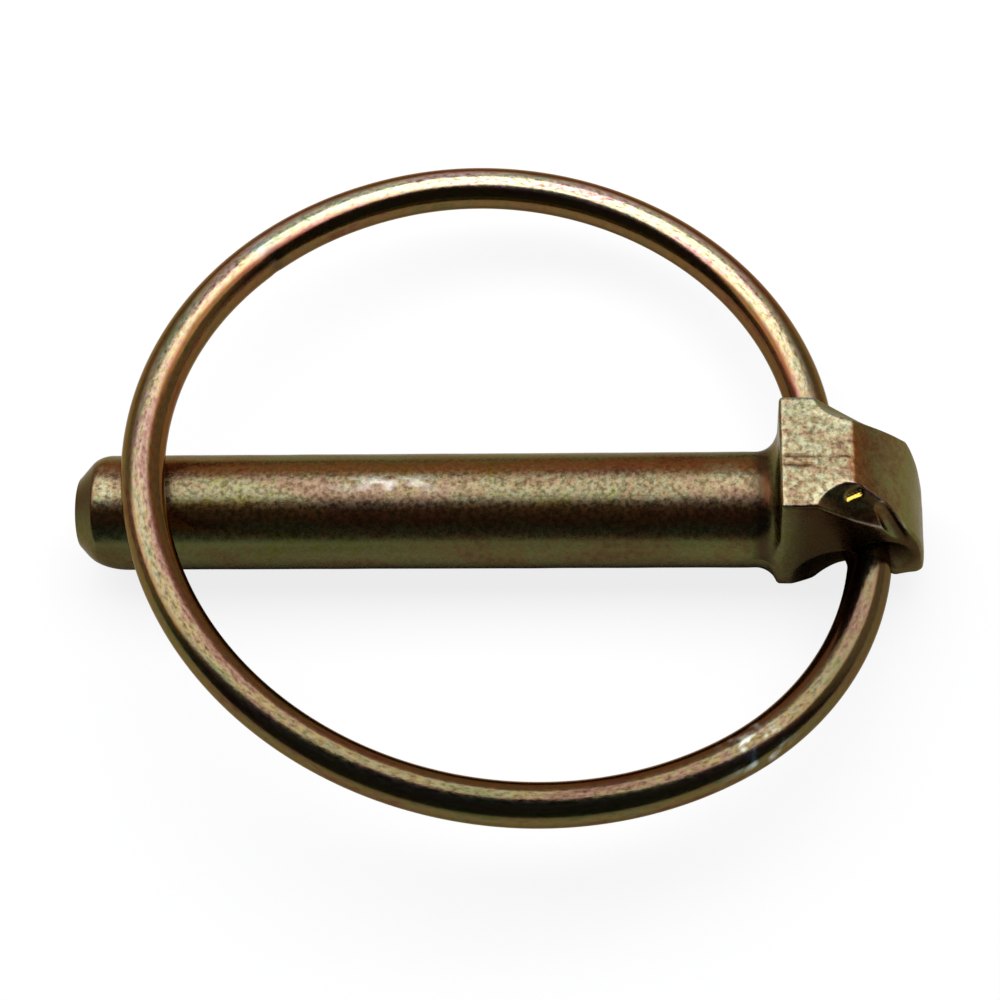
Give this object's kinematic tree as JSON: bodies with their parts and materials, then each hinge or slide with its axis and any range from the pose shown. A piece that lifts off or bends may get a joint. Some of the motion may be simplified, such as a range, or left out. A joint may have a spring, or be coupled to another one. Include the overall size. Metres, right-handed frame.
{
  "type": "linch pin",
  "caption": "Forged locking pin with a round shank, a sloping head and a ring of spring wire that is hinged in the head and swings over to close on the shank near its tip.",
  "frame": {"origin": "on the shank's axis, where the straight shank meets the fillet under the head", "axes": "+X along the shank towards the head, so -X points out of the tip; +Z square to the shank, towards the flat top of the head and the side that the closed ring rests on; +Y across the ring"},
  "size_m": [0.0586, 0.0538, 0.0121],
  "materials": {
    "forging": "zinc plated with an iridescent yellow passivation over a forged surface",
    "wire": "zinc plated with an iridescent yellow passivation over drawn spring wire"
  },
  "bodies": {
    "pin": {"pin": "forging"},
    "ring": {"ring": "wire"}
  },
  "joints": [
    {"name": "ring_swing", "type": "hinge", "parent": "pin", "child": "ring", "pos_m": [0.00615, 0, 0], "axis": [-0.355, 0.9349, 0], "range_deg": [0, 345]}
  ]
}
